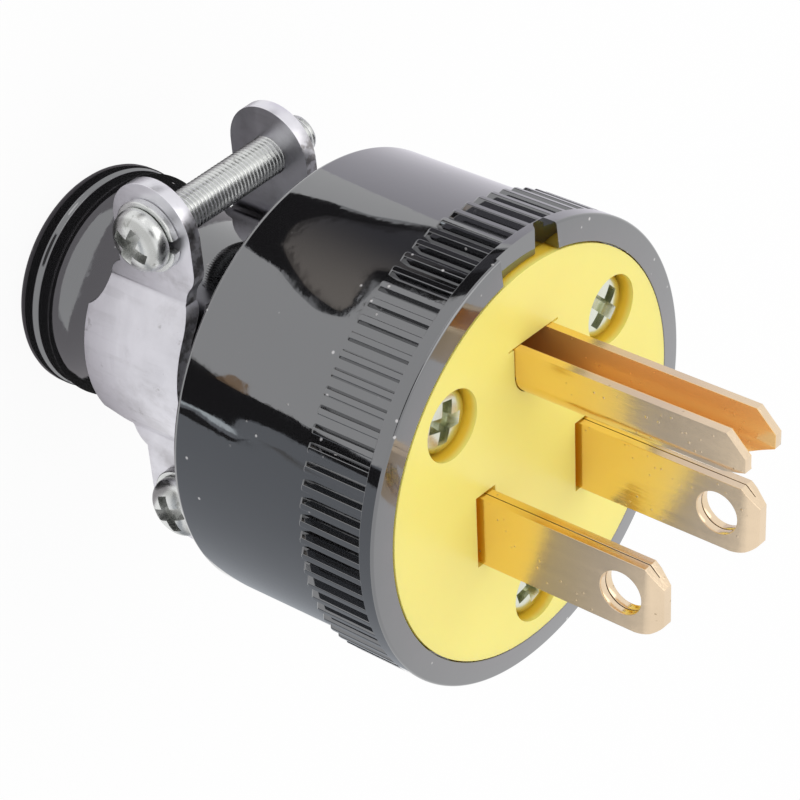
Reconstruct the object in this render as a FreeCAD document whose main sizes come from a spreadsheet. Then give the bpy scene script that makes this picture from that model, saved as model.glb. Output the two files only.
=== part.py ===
"""Rewirable three-pin plug, type B.

A ribbed black body with a cord neck carries a yellow face with two folded blades and a folded
earth pin. Screw terminals lie behind the face, and a two-piece steel clamp grips the cord neck.

Millimetres. The origin is the centre of the neck's rear face and +Z runs along the plug to the
pins. +Y points to the earth pin and +X to the line blade.
"""
import FreeCAD, Part
import math
import os

import Sketcher

# Driving sizes in millimetres, degrees and counts
SIZES = {
    # Cord neck and collar
    "bore_radius": 6.5,
    "bore_chamfer": 0.9,
    "neck_wall": 2.85,
    "neck_flare": 3.0,
    "collar_step": 0.62,
    "collar_round": 1.3,
    "collar_straight": 4.4,
    "collar_flare": 3.0,
    "groove_start": 2.2,
    "groove_width": 1.8,
    "groove_depth": 0.3,
    # Distances along the plug that leave room for the clamp and the wires
    "collar_to_clamp": 1.7,
    "clamp_to_barrel": 6.5,
    "chamber_depth": 8.0,
    # Body shell
    "back_wall": 2.2,
    "barrel_wall": 2.7,
    "barrel_edge": 0.5,
    "seat_depth": 3.0,
    "face_gap": 0.1,
    "insert_gap": 0.2,
    "boss_radius": 3.6,
    "boss_hole_extra": 1.3,
    # Ribbed grip band
    "rib_band_length": 7.9,
    "rib_count": 80,
    "rib_width": 0.7,
    "rib_height": 0.62,
    "rib_root": 0.4,
    "rib_end_slope": 0.7,
    "ring_height": 0.65,
    "ring_width": 1.6,
    # Notch in the rim beside the earth pin
    "notch_width": 6.9,
    "notch_depth_left": 0.75,
    "notch_depth_right": 1.35,
    # Face insert
    "insert_margin": 0.735,
    "face_lip": 1.25,
    "slot_mouth_depth": 1.0,
    "slot_mouth_gap": 0.45,
    "slot_mouth_height_gap": 0.15,
    "guide_gap": 0.05,
    "well_radius": 2.0,
    "well_clearance": 0.6,
    "well_floor": 4.2,
    # Blades
    "blade_spacing": 12.7,
    "blade_row_drop": 3.18,
    "blade_width": 6.3,
    "blade_length": 17.1,
    "leaf": 0.71,
    "seam": 0.08,
    "blade_tip_width": 3.4,
    "blade_tip_taper": 1.6,
    "blade_coin_length": 1.1,
    "blade_coin_depth": 0.3,
    "blade_tip_wall": 0.75,
    "blade_corner_length": 0.9,
    "blade_corner_radius": 3.6,
    "lock_hole_radius": 1.9,
    "lock_hole_height": 13.3,
    "tab_reach": 7.65,
    "tab_hole_reach": 4.65,
    "bend_radius": 0.4,
    # Earth pin
    "earth_length": 21.0,
    "earth_width": 4.7,
    "earth_leaf": 0.78,
    "earth_web_height": 6.42,
    "earth_wall_height": 4.7,
    "earth_corner": 2.2,
    "earth_taper_length": 1.7,
    "earth_taper_drop": 1.7,
    "earth_under_length": 4.9,
    "earth_under_rise": 1.8,
    "earth_neck_width": 2.4,
    "earth_tab_reach": 7.0,
    "earth_tab_hole_reach": 4.0,
    "earth_tab_neck": 0.6,
    "earth_hole_collar_radius": 2.2,
    "earth_hole_collar_height": 1.2,
    "earth_slit_width": 6.2,
    "earth_slit_height": 0.2,
    "earth_slit_depth": 0.5,
    # Retainer plate
    "retainer_thickness": 2.0,
    "retainer_gap": 0.4,
    "window_gap": 0.4,
    # Terminal screws and their clamp plates
    "terminal_screw_radius": 1.5,
    "terminal_screw_length": 5.0,
    "terminal_head_radius": 2.75,
    "terminal_head_height": 1.8,
    "plate_length": 5.4,
    "plate_width": 5.9,
    "plate_thickness": 0.8,
    "plate_corner": 0.5,
    "screw_gap": 0.15,
    # Face screws
    "face_screw_inset": 3.1,
    "face_screw_angle": 39.5,
    "face_screw_radius": 1.7,
    "face_screw_grip": 6.6,
    "face_head_radius": 2.75,
    "face_head_height": 1.9,
    "face_head_drop": 0.6,
    "face_head_gap": 0.23,
    # Cord clamp
    "clamp_turn": 2.7,
    "clamp_lift": 0.14,
    "clamp_sheet": 1.25,
    "clamp_gap": 0.25,
    "clamp_bend": 0.7,
    "saddle_length": 10.5,
    "ear_inset": 3.125,
    "ear_radius": 4.2,
    "ear_rise": 6.8,
    "ear_tip_reach": 0.25,
    "ear_straight_back": 4.3,
    "ear_straight_front": 2.7,
    "shoulder_run": 4.2,
    "waist_depth": 0.8,
    "waist_run": 3.5,
    "waist_rise_run": 2.3,
    "waist_round": 3.2,
    "tapped_collar_radius": 2.7,
    "tapped_collar_height": 1.2,
    # Clamp screws and lock washers
    "clamp_screw_offset": 4.1,
    "clamp_screw_radius": 1.75,
    "clamp_screw_tip": 1.6,
    "clamp_head_radius": 2.75,
    "clamp_head_height": 1.9,
    "washer_radius": 3.2,
    "washer_thickness": 0.8,
    "washer_split": 1.1,
    "washer_split_turn": 12,
    # Screw heads
    "head_edge_height": 0.9,
    "head_flat_share": 0.66,
    "recess_share": 0.58,
    "recess_width": 0.9,
    "recess_depth": 1.0,
}

doc = FreeCAD.newDocument("TypeBPlug")
sheet = doc.addObject("Spreadsheet::Sheet", "Sizes")


class Size:
    """A length, angle or count known both as a number and as a formula on the sheet."""

    def __init__(self, text, value):
        self.text = text
        self.value = value

    def __add__(self, other):
        other = as_size(other)
        return Size(f"({self.text} + {other.text})", self.value + other.value)

    def __sub__(self, other):
        other = as_size(other)
        return Size(f"({self.text} - {other.text})", self.value - other.value)

    def __mul__(self, other):
        other = as_size(other)
        return Size(f"({self.text} * {other.text})", self.value * other.value)

    def __truediv__(self, other):
        other = as_size(other)
        return Size(f"({self.text} / {other.text})", self.value / other.value)

    def __neg__(self):
        return Size(f"(0 - {self.text})", -self.value)


def as_size(number):
    """A plain number as a Size."""
    return number if isinstance(number, Size) else Size(str(number), float(number))


def root(size):
    return Size(f"sqrt({size.text})", math.sqrt(size.value))


def cosine(angle):
    return Size(f"cos({angle.text})", math.cos(math.radians(angle.value)))


def sine(angle):
    return Size(f"sin({angle.text})", math.sin(math.radians(angle.value)))


def fill_sheet():
    """Writes every driving size to its own row, with its name as the alias."""
    for row, (alias, value) in enumerate(SIZES.items(), start=1):
        sheet.set(f"A{row}", alias)
        sheet.set(f"B{row}", str(value))
        sheet.setAlias(f"B{row}", alias)
    doc.recompute()


class Named:
    """Gives each driving size under its own name, as in s.neck_radius."""

    def __getattr__(self, alias):
        return Size(f"Sizes.{alias}", float(SIZES[alias]))


s = Named()
ZERO = as_size(0)

# How far the sketch of a cut reaches past the solid that it cuts
PAST = as_size(1)

# Across the blades and their terminals
BLADE_THICKNESS = s.leaf * 2 + s.seam
BLADE_CENTRE = s.blade_spacing / 2
BLADE_INNER = BLADE_CENTRE - BLADE_THICKNESS / 2
BLADE_OUTER = BLADE_CENTRE + BLADE_THICKNESS / 2
TAB_HOLE = BLADE_CENTRE + s.tab_hole_reach
TAB_END = BLADE_CENTRE + s.tab_reach
EARTH_TAB_HOLE = s.earth_web_height - s.earth_tab_hole_reach
EARTH_TOP = s.earth_web_height + s.earth_wall_height
TAB_CORNER = s.blade_row_drop + s.blade_width / 2

# Radii about the plug's axis: the insert covers the tabs' corners and the shell goes round it
INSERT_RADIUS = root(TAB_END * TAB_END + TAB_CORNER * TAB_CORNER) + s.insert_margin
FACE_RADIUS = INSERT_RADIUS + s.face_lip
SEAT_RADIUS = FACE_RADIUS + s.face_gap
CAVITY_RADIUS = INSERT_RADIUS + s.insert_gap
RETAINER_RADIUS = CAVITY_RADIUS - s.retainer_gap
BARREL_RADIUS = CAVITY_RADIUS + s.barrel_wall
RIB_RADIUS = BARREL_RADIUS + s.rib_height
RING_RADIUS = BARREL_RADIUS + s.ring_height
NECK_RADIUS = s.bore_radius + s.neck_wall
COLLAR_RADIUS = NECK_RADIUS + s.collar_step

# Levels along the plug, from the neck's rear face to the face that meets the socket
COLLAR_END = s.collar_straight + s.collar_flare
SADDLE_BACK = COLLAR_END + s.collar_to_clamp
SADDLE_FRONT = SADDLE_BACK + s.saddle_length
EAR_HEIGHT = SADDLE_BACK + s.ear_rise
EAR_BACK = EAR_HEIGHT - s.ear_radius
EAR_FRONT = EAR_HEIGHT + s.ear_radius
BARREL_BACK = EAR_FRONT + s.clamp_to_barrel
CAVITY_FLOOR = BARREL_BACK + s.back_wall
RETAINER_BACK = CAVITY_FLOOR + s.chamber_depth
INSERT_BACK = RETAINER_BACK + s.retainer_thickness
WELL_DEPTH = s.terminal_screw_length - s.plate_thickness + s.well_clearance
INSERT_DEPTH = WELL_DEPTH + s.well_floor
FACE = INSERT_BACK + INSERT_DEPTH
TAB_FRONT = INSERT_BACK + BLADE_THICKNESS
EARTH_TAB_FRONT = INSERT_BACK + s.earth_leaf
FACE_HEAD_SEAT = FACE - s.face_head_drop - s.face_head_height
FACE_SCREW_LENGTH = FACE_HEAD_SEAT - RETAINER_BACK + s.face_screw_grip

# Places of the face screws, and the label and place of each terminal screw
FACE_CIRCLE = INSERT_RADIUS - s.face_screw_inset
FACE_SCREWS = [
    (FACE_CIRCLE * cosine(s.face_screw_angle), FACE_CIRCLE * sine(s.face_screw_angle)),
    (-(FACE_CIRCLE * cosine(s.face_screw_angle)), FACE_CIRCLE * sine(s.face_screw_angle)),
    (ZERO, -FACE_CIRCLE),
]
TERMINALS = [
    ("line", TAB_HOLE, -s.blade_row_drop),
    ("neutral", -TAB_HOLE, -s.blade_row_drop),
    ("earth", ZERO, EARTH_TAB_HOLE),
]

# The cord clamp, in its own frame before it is turned about the plug's axis
SADDLE_INNER = NECK_RADIUS + s.clamp_gap
SADDLE_OUTER = SADDLE_INNER + s.clamp_sheet
EAR_INNER = SADDLE_INNER - s.ear_inset
EAR_OUTER = EAR_INNER + s.clamp_sheet
WASHER_OUTER = EAR_OUTER + s.washer_thickness
SCREW_REACH = NECK_RADIUS + s.clamp_screw_offset
TIP_CENTRE = SCREW_REACH + s.ear_tip_reach
CLAMP_SCREW_LENGTH = WASHER_OUTER + EAR_OUTER + s.tapped_collar_height + s.clamp_screw_tip


def new_body(label):
    """A body named after the piece that it makes."""
    body = doc.addObject("PartDesign::Body", label)
    body.Label = label
    return body


def origin_feature(body, role):
    return next(item for item in body.Origin.OriginFeatures if item.Role == role)


def new_sketch(body, name, plane, offset=ZERO):
    """A sketch on one of the body's own planes, moved along that plane's normal."""
    sketch = body.newObject("Sketcher::SketchObject", name)
    sketch.AttachmentSupport = (origin_feature(body, plane), [""])
    sketch.MapMode = "FlatFace"
    sketch.setExpression("AttachmentOffset.Base.z", offset.text)
    return sketch


def bind(sketch, constraint, size):
    """Adds a sized constraint and ties it to the sheet."""
    index = sketch.addConstraint(constraint)
    sketch.setExpression(f"Constraints[{index}]", size.text)


def place_point(sketch, geometry, end, x, y):
    bind(sketch, Sketcher.Constraint("DistanceX", -1, 1, geometry, end, x.value), x)
    bind(sketch, Sketcher.Constraint("DistanceY", -1, 1, geometry, end, y.value), y)


def arc_between(start, end, radius):
    """The short arc between two points: a positive radius turns left, a negative one right."""
    chord = end - start
    middle = (start + end) * 0.5
    left = FreeCAD.Vector(-chord.y, chord.x, 0).normalize()
    rise = math.sqrt(max(radius * radius - chord.Length ** 2 / 4, 0.0))
    centre = middle + left * (rise if radius > 0 else -rise)
    first, last = (start, end) if radius > 0 else (end, start)
    angles = [math.atan2(point.y - centre.y, point.x - centre.x) for point in (first, last)]
    circle = Part.Circle(centre, FreeCAD.Vector(0, 0, 1), abs(radius))
    return Part.ArcOfCircle(circle, angles[0], angles[1])


def outline(sketch, corners):
    """A closed outline. Each corner is (x, y) or (x, y, radius of the arc to the next corner)."""
    corners = [[as_size(value) for value in corner] for corner in corners]
    points = [FreeCAD.Vector(corner[0].value, corner[1].value, 0) for corner in corners]
    edges = []
    for index, corner in enumerate(corners):
        start, end = points[index], points[(index + 1) % len(points)]
        if len(corner) == 3:
            radius = corner[2]
            geometry = sketch.addGeometry(arc_between(start, end, radius.value))
            ends = (1, 2) if radius.value > 0 else (2, 1)
            size = radius if radius.value > 0 else -radius
            bind(sketch, Sketcher.Constraint("Radius", geometry, size.value), size)
        else:
            geometry = sketch.addGeometry(Part.LineSegment(start, end))
            ends = (1, 2)
        edges.append((geometry, ends))
    for index, (geometry, ends) in enumerate(edges):
        following, following_ends = edges[(index + 1) % len(edges)]
        sketch.addConstraint(Sketcher.Constraint("Coincident", geometry, ends[1], following, following_ends[0]))
        place_point(sketch, geometry, ends[0], corners[index][0], corners[index][1])


def rectangle(sketch, x_low, x_high, y_low, y_high):
    outline(sketch, [(x_low, y_low), (x_high, y_low), (x_high, y_high), (x_low, y_high)])


def circle(sketch, x, y, radius):
    centre = FreeCAD.Vector(x.value, y.value, 0)
    geometry = sketch.addGeometry(Part.Circle(centre, FreeCAD.Vector(0, 0, 1), radius.value))
    place_point(sketch, geometry, 3, x, y)
    bind(sketch, Sketcher.Constraint("Radius", geometry, radius.value), radius)


def revolve(body, sketch):
    """Turns a profile drawn on the XZ plane about the Z axis."""
    feature = body.newObject("PartDesign::Revolution", f"{sketch.Name}_turned")
    feature.Profile = sketch
    feature.ReferenceAxis = (sketch, ["V_Axis"])
    feature.Angle = 360
    return feature


def pad(body, sketch, length, both_ways=False, backwards=False):
    feature = body.newObject("PartDesign::Pad", f"{sketch.Name}_pad")
    feature.Profile = sketch
    feature.setExpression("Length", length.text)
    feature.SideType = "Symmetric" if both_ways else "One side"
    feature.Reversed = backwards
    return feature


def pocket(body, sketch, depth, both_ways=False, backwards=False):
    """Cuts against the sketch's normal, or along it if backwards, and makes sure that it cut."""
    doc.recompute()
    before = body.Shape.Volume
    feature = body.newObject("PartDesign::Pocket", f"{sketch.Name}_cut")
    feature.Profile = sketch
    feature.setExpression("Length", depth.text)
    feature.SideType = "Symmetric" if both_ways else "One side"
    feature.Reversed = backwards
    doc.recompute()
    if body.Shape.Volume >= before:
        raise RuntimeError(f"{feature.Name} cut nothing")
    return feature


def place(body, x, y, z, axis=FreeCAD.Vector(0, 0, 1), angle=0):
    """Turns a body made at its own origin and moves it to its place."""
    body.Placement = FreeCAD.Placement(FreeCAD.Vector(), FreeCAD.Rotation(axis, angle))
    body.setExpression("Placement.Base.x", as_size(x).text)
    body.setExpression("Placement.Base.y", as_size(y).text)
    body.setExpression("Placement.Base.z", as_size(z).text)


def make_shell():
    """Black body: ribbed band, barrel, neck and collar round one cavity and the cord bore."""
    body = new_body("shell")
    band_back = FACE - s.rib_band_length
    ring_back = FACE - s.ring_width
    groove_end = s.groove_start + s.groove_width
    edge = as_size(1) - sine(as_size(45))
    profile = new_sketch(body, "shell_profile", "XZ_Plane")
    outline(profile, [
        (s.bore_radius + s.bore_chamfer, ZERO),
        (COLLAR_RADIUS - s.collar_round, ZERO),
        (COLLAR_RADIUS - s.collar_round * edge, s.collar_round * edge),
        (COLLAR_RADIUS, s.collar_round),
        (COLLAR_RADIUS, s.groove_start),
        (COLLAR_RADIUS - s.groove_depth, s.groove_start + s.groove_depth),
        (COLLAR_RADIUS - s.groove_depth, groove_end - s.groove_depth),
        (COLLAR_RADIUS, groove_end),
        (COLLAR_RADIUS, s.collar_straight),
        (NECK_RADIUS, COLLAR_END),
        (NECK_RADIUS, BARREL_BACK - s.neck_flare),
        (NECK_RADIUS + s.neck_flare, BARREL_BACK),
        (BARREL_RADIUS - s.barrel_edge, BARREL_BACK),
        (BARREL_RADIUS, BARREL_BACK + s.barrel_edge),
        (BARREL_RADIUS, ring_back),
        (RING_RADIUS, ring_back),
        (RING_RADIUS, FACE),
        (SEAT_RADIUS, FACE),
        (SEAT_RADIUS, FACE - s.seat_depth),
        (CAVITY_RADIUS, FACE - s.seat_depth),
        (CAVITY_RADIUS, CAVITY_FLOOR),
        (s.bore_radius, CAVITY_FLOOR),
        (s.bore_radius, s.bore_chamfer),
    ])
    revolve(body, profile)

    sunk = s.back_wall / 2
    bosses = new_sketch(body, "bosses", "XY_Plane", CAVITY_FLOOR - sunk)
    for x, y in FACE_SCREWS:
        circle(bosses, x, y, s.boss_radius)
    pad(body, bosses, s.chamber_depth + sunk)
    holes = new_sketch(body, "boss_holes", "XY_Plane", RETAINER_BACK)
    for x, y in FACE_SCREWS:
        circle(holes, x, y, s.face_screw_radius)
    pocket(body, holes, s.face_screw_grip + s.boss_hole_extra)

    notch = new_sketch(body, "rim_notch", "XZ_Plane", -CAVITY_RADIUS)
    outline(notch, [
        (-(s.notch_width / 2), FACE - s.notch_depth_left),
        (s.notch_width / 2, FACE - s.notch_depth_right),
        (s.notch_width / 2, FACE + PAST),
        (-(s.notch_width / 2), FACE + PAST),
    ])
    pocket(body, notch, RING_RADIUS + PAST - CAVITY_RADIUS)

    rib = new_sketch(body, "rib", "XZ_Plane")
    outline(rib, [
        (BARREL_RADIUS - s.rib_root, band_back - s.rib_root),
        (RIB_RADIUS, band_back + s.rib_end_slope),
        (RIB_RADIUS, ring_back),
        (BARREL_RADIUS - s.rib_root, ring_back),
    ])
    first = pad(body, rib, s.rib_width, both_ways=True)
    ribs = body.newObject("PartDesign::PolarPattern", "ribs")
    ribs.Originals = [first]
    ribs.Axis = (origin_feature(body, "Z_Axis"), [""])
    ribs.Angle = 360
    ribs.setExpression("Occurrences", s.rib_count.text)
    body.Tip = ribs


def make_face_insert():
    """Yellow face: a disc seated in the rim and a thick spigot that the terminals lie in."""
    body = new_body("face_insert")
    profile = new_sketch(body, "insert_profile", "XZ_Plane")
    outline(profile, [
        (ZERO, INSERT_BACK),
        (INSERT_RADIUS, INSERT_BACK),
        (INSERT_RADIUS, FACE - s.seat_depth),
        (FACE_RADIUS, FACE - s.seat_depth),
        (FACE_RADIUS, FACE),
        (ZERO, FACE),
    ])
    revolve(body, profile)

    heads = new_sketch(body, "screw_recesses", "XY_Plane", FACE)
    for x, y in FACE_SCREWS:
        circle(heads, x, y, s.face_head_radius + s.face_head_gap)
    pocket(body, heads, FACE - FACE_HEAD_SEAT)
    shanks = new_sketch(body, "screw_holes", "XY_Plane", FACE)
    for x, y in FACE_SCREWS:
        circle(shanks, x, y, s.face_screw_radius + s.screw_gap)
    pocket(body, shanks, INSERT_DEPTH)

    half_height = s.blade_width / 2
    mouths = new_sketch(body, "blade_mouths", "XY_Plane", FACE)
    guides = new_sketch(body, "blade_guides", "XY_Plane", FACE)
    for side in (1, -1):
        centre = BLADE_CENTRE * side
        mouth = BLADE_THICKNESS / 2 + s.slot_mouth_gap
        tall = half_height + s.slot_mouth_height_gap
        rectangle(mouths, centre - mouth, centre + mouth, -s.blade_row_drop - tall, -s.blade_row_drop + tall)
        snug = BLADE_THICKNESS / 2 + s.guide_gap
        tall = half_height + s.guide_gap
        rectangle(guides, centre - snug, centre + snug, -s.blade_row_drop - tall, -s.blade_row_drop + tall)
    pocket(body, mouths, s.slot_mouth_depth)
    pocket(body, guides, INSERT_DEPTH)

    half_width = s.earth_width / 2 + s.guide_gap
    bottom = s.earth_web_height - s.guide_gap
    corner = s.earth_corner
    earth = new_sketch(body, "earth_slot", "XY_Plane", FACE)
    outline(earth, [
        (-half_width + corner, bottom),
        (half_width - corner, bottom, corner),
        (half_width, bottom + corner),
        (half_width, EARTH_TOP + s.guide_gap),
        (-half_width, EARTH_TOP + s.guide_gap),
        (-half_width, bottom + corner, corner),
    ])
    pocket(body, earth, INSERT_DEPTH)
    slit = new_sketch(body, "earth_slit", "XY_Plane", FACE)
    slit_top = EARTH_TOP + s.guide_gap
    rectangle(slit, -(s.earth_slit_width / 2), s.earth_slit_width / 2, slit_top - s.earth_slit_height, slit_top)
    pocket(body, slit, s.earth_slit_depth)

    tabs = new_sketch(body, "tab_recesses", "XY_Plane", INSERT_BACK)
    tall = half_height + s.guide_gap
    for side in (1, -1):
        ends = sorted([BLADE_INNER * side, (TAB_END + s.screw_gap) * side], key=lambda size: size.value)
        rectangle(tabs, ends[0], ends[1], -s.blade_row_drop - tall, -s.blade_row_drop + tall)
    pocket(body, tabs, BLADE_THICKNESS, backwards=True)
    earth_tab = new_sketch(body, "earth_tab_recess", "XY_Plane", INSERT_BACK)
    tab_end = s.earth_web_height - s.earth_tab_reach - s.screw_gap
    rectangle(earth_tab, -half_width, half_width, tab_end, s.earth_web_height + s.earth_leaf)
    pocket(body, earth_tab, s.earth_leaf, backwards=True)
    bends = new_sketch(body, "bend_reliefs", "XY_Plane", INSERT_BACK)
    relief = s.bend_radius + s.guide_gap
    for side in (1, -1):
        ends = sorted([BLADE_OUTER * side, (BLADE_OUTER + relief) * side], key=lambda size: size.value)
        rectangle(bends, ends[0], ends[1], -s.blade_row_drop - tall, -s.blade_row_drop + tall)
    pocket(body, bends, BLADE_THICKNESS + relief, backwards=True)
    earth_bend = new_sketch(body, "earth_bend_relief", "XY_Plane", INSERT_BACK)
    inner = s.earth_web_height + s.earth_leaf
    rectangle(earth_bend, -half_width, half_width, s.earth_web_height - relief, inner)
    pocket(body, earth_bend, s.earth_leaf * 2 + relief, backwards=True)

    wells = new_sketch(body, "terminal_wells", "XY_Plane", INSERT_BACK)
    for label, x, y in TERMINALS:
        radius = s.well_radius
        if label == "earth":
            radius = s.earth_hole_collar_radius + s.screw_gap
        circle(wells, x, y, radius)
    pocket(body, wells, WELL_DEPTH, backwards=True)


def make_retainer():
    """Plate that traps the blades' tabs in the insert, with a window at each terminal."""
    body = new_body("terminal_retainer")
    disc = new_sketch(body, "retainer_disc", "XY_Plane", RETAINER_BACK)
    circle(disc, ZERO, ZERO, RETAINER_RADIUS)
    pad(body, disc, s.retainer_thickness)
    windows = new_sketch(body, "retainer_windows", "XY_Plane", INSERT_BACK)
    for label, x, y in TERMINALS:
        along, across = s.plate_length / 2 + s.window_gap, s.plate_width / 2 + s.window_gap
        if label == "earth":
            along, across = across, along
        rectangle(windows, x - along, x + along, y - across, y + across)
    pocket(body, windows, s.retainer_thickness)
    holes = new_sketch(body, "retainer_holes", "XY_Plane", INSERT_BACK)
    for x, y in FACE_SCREWS:
        circle(holes, x, y, s.face_screw_radius + s.screw_gap)
    pocket(body, holes, s.retainer_thickness)


def make_blade(label, side):
    """Folded strip: two leaves joined at the tip, bent outwards behind the face to a terminal tab."""
    body = new_body(label)
    tip = FACE + s.blade_length
    inner_bend, outer_bend = s.bend_radius, s.bend_radius + BLADE_THICKNESS
    low_seam, high_seam = INSERT_BACK + s.leaf, INSERT_BACK + s.leaf + s.seam
    near_seam, far_seam = BLADE_INNER + s.leaf, BLADE_INNER + s.leaf + s.seam
    seam_top = tip - s.blade_tip_wall
    corners = [
        (BLADE_INNER + outer_bend, INSERT_BACK),
        (TAB_END, INSERT_BACK),
        (TAB_END, low_seam),
        (BLADE_INNER + outer_bend, low_seam, -(outer_bend - s.leaf)),
        (near_seam, INSERT_BACK + outer_bend),
        (near_seam, seam_top),
        (far_seam, seam_top),
        (far_seam, TAB_FRONT + inner_bend, inner_bend + s.leaf),
        (BLADE_OUTER + inner_bend, high_seam),
        (TAB_END, high_seam),
        (TAB_END, TAB_FRONT),
        (BLADE_OUTER + inner_bend, TAB_FRONT, -inner_bend),
        (BLADE_OUTER, TAB_FRONT + inner_bend),
        (BLADE_OUTER, tip - s.blade_coin_length),
        (BLADE_OUTER - s.blade_coin_depth, tip),
        (BLADE_INNER + s.blade_coin_depth, tip),
        (BLADE_INNER, tip - s.blade_coin_length),
        (BLADE_INNER, INSERT_BACK + outer_bend, outer_bend),
    ]
    profile = new_sketch(body, f"{label}_profile", "XZ_Plane", s.blade_row_drop)
    outline(profile, [[corner[0] * side, corner[1], *[turn * side for turn in corner[2:]]] for corner in corners])
    pad(body, profile, s.blade_width, both_ways=True)

    wide = BLADE_THICKNESS * 2
    row = -s.blade_row_drop
    corner_cut = (s.blade_width - s.blade_tip_width) / 2
    high, low = row + s.blade_width / 2, row - s.blade_width / 2
    tips = new_sketch(body, f"{label}_tip_corners", "YZ_Plane", BLADE_CENTRE * side)
    outline(tips, [
        (high - corner_cut, tip),
        (high, tip - s.blade_tip_taper),
        (high + PAST, tip - s.blade_tip_taper),
        (high + PAST, tip + PAST),
        (high - corner_cut, tip + PAST),
    ])
    outline(tips, [
        (low + corner_cut, tip + PAST),
        (low - PAST, tip + PAST),
        (low - PAST, tip - s.blade_tip_taper - s.blade_corner_length),
        (low, tip - s.blade_tip_taper - s.blade_corner_length, -s.blade_corner_radius),
        (low + corner_cut, tip),
    ])
    pocket(body, tips, wide, both_ways=True)
    lock = new_sketch(body, f"{label}_lock_hole", "YZ_Plane", BLADE_CENTRE * side)
    circle(lock, row, FACE + s.lock_hole_height, s.lock_hole_radius)
    pocket(body, lock, wide, both_ways=True)
    tapped = new_sketch(body, f"{label}_tapped_hole", "XY_Plane", TAB_FRONT)
    circle(tapped, TAB_HOLE * side, row, s.terminal_screw_radius)
    pocket(body, tapped, BLADE_THICKNESS)


def make_earth_pin():
    """Pin folded to a U from one sheet, with its open side outwards and a terminal tab at the back."""
    body = new_body("earth_pin")
    half = s.earth_width / 2
    web, top, leaf, corner = s.earth_web_height, EARTH_TOP, s.earth_leaf, s.earth_corner
    inside = corner - leaf
    tip = FACE + s.earth_length
    section = new_sketch(body, "earth_section", "XY_Plane", EARTH_TAB_FRONT + s.bend_radius)
    outline(section, [
        (-half + corner, web),
        (half - corner, web, corner),
        (half, web + corner),
        (half, top),
        (half - leaf, top),
        (half - leaf, web + corner, -inside),
        (half - corner, web + leaf),
        (-half + corner, web + leaf, -inside),
        (-half + leaf, web + corner),
        (-half + leaf, top),
        (-half, top),
        (-half, web + corner, corner),
    ])
    pad(body, section, tip - EARTH_TAB_FRONT - s.bend_radius)
    taper = new_sketch(body, "earth_taper", "YZ_Plane")
    outline(taper, [
        (top - s.earth_taper_drop, tip),
        (top, tip - s.earth_taper_length),
        (top + PAST, tip - s.earth_taper_length),
        (top + PAST, tip + PAST),
        (top - s.earth_taper_drop, tip + PAST),
    ])
    outline(taper, [
        (web + s.earth_under_rise, tip),
        (web + s.earth_under_rise, tip + PAST),
        (web - PAST, tip + PAST),
        (web - PAST, tip - s.earth_under_length),
        (web, tip - s.earth_under_length),
    ])
    pocket(body, taper, s.earth_width * 2, both_ways=True)

    bend = new_sketch(body, "earth_bend", "YZ_Plane")
    outer_bend = s.bend_radius + leaf
    neck_end = web - s.bend_radius - s.earth_tab_neck
    outline(bend, [
        (neck_end, INSERT_BACK),
        (web + leaf - outer_bend, INSERT_BACK, outer_bend),
        (web + leaf, INSERT_BACK + outer_bend),
        (web + leaf, EARTH_TAB_FRONT + outer_bend),
        (web, EARTH_TAB_FRONT + outer_bend),
        (web, EARTH_TAB_FRONT + s.bend_radius, -s.bend_radius),
        (web - s.bend_radius, EARTH_TAB_FRONT),
        (neck_end, EARTH_TAB_FRONT),
    ])
    pad(body, bend, s.earth_neck_width, both_ways=True)
    tab = new_sketch(body, "earth_tab", "XY_Plane", INSERT_BACK)
    rectangle(tab, -half, half, web - s.earth_tab_reach, neck_end)
    pad(body, tab, leaf)
    collar = new_sketch(body, "earth_hole_collar", "XY_Plane", INSERT_BACK)
    circle(collar, ZERO, EARTH_TAB_HOLE, s.earth_hole_collar_radius)
    pad(body, collar, leaf + s.earth_hole_collar_height)
    hole = new_sketch(body, "earth_tapped_hole", "XY_Plane", INSERT_BACK)
    circle(hole, ZERO, EARTH_TAB_HOLE, s.terminal_screw_radius)
    pocket(body, hole, leaf + s.earth_hole_collar_height, backwards=True)


def make_screw(label, shank_radius, length, head_radius, head_height, domed=False):
    """Screw along +Z with a cross recess. Its own origin is the underside of the head."""
    body = new_body(label)
    profile = new_sketch(body, f"{label}_profile", "XZ_Plane")
    dome = [(head_radius, s.head_edge_height), (head_radius * s.head_flat_share, head_height)]
    flat = [(head_radius, head_height)]
    outline(profile, [
        (ZERO, -length),
        (shank_radius, -length),
        (shank_radius, ZERO),
        (head_radius, ZERO),
        *(dome if domed else flat),
        (ZERO, head_height),
    ])
    revolve(body, profile)
    recess = new_sketch(body, f"{label}_recess", "XY_Plane", head_height)
    arm, half = head_radius * s.recess_share, s.recess_width / 2
    outline(recess, [
        (-arm, -half), (-half, -half), (-half, -arm), (half, -arm), (half, -half), (arm, -half),
        (arm, half), (half, half), (half, arm), (-half, arm), (-half, half), (-arm, half),
    ])
    pocket(body, recess, s.recess_depth)
    return body


def make_face_screws():
    for index, (x, y) in enumerate(FACE_SCREWS, start=1):
        screw = make_screw(f"face_screw_{index}", s.face_screw_radius, FACE_SCREW_LENGTH,
                           s.face_head_radius, s.face_head_height)
        place(screw, x, y, FACE_HEAD_SEAT)


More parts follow.
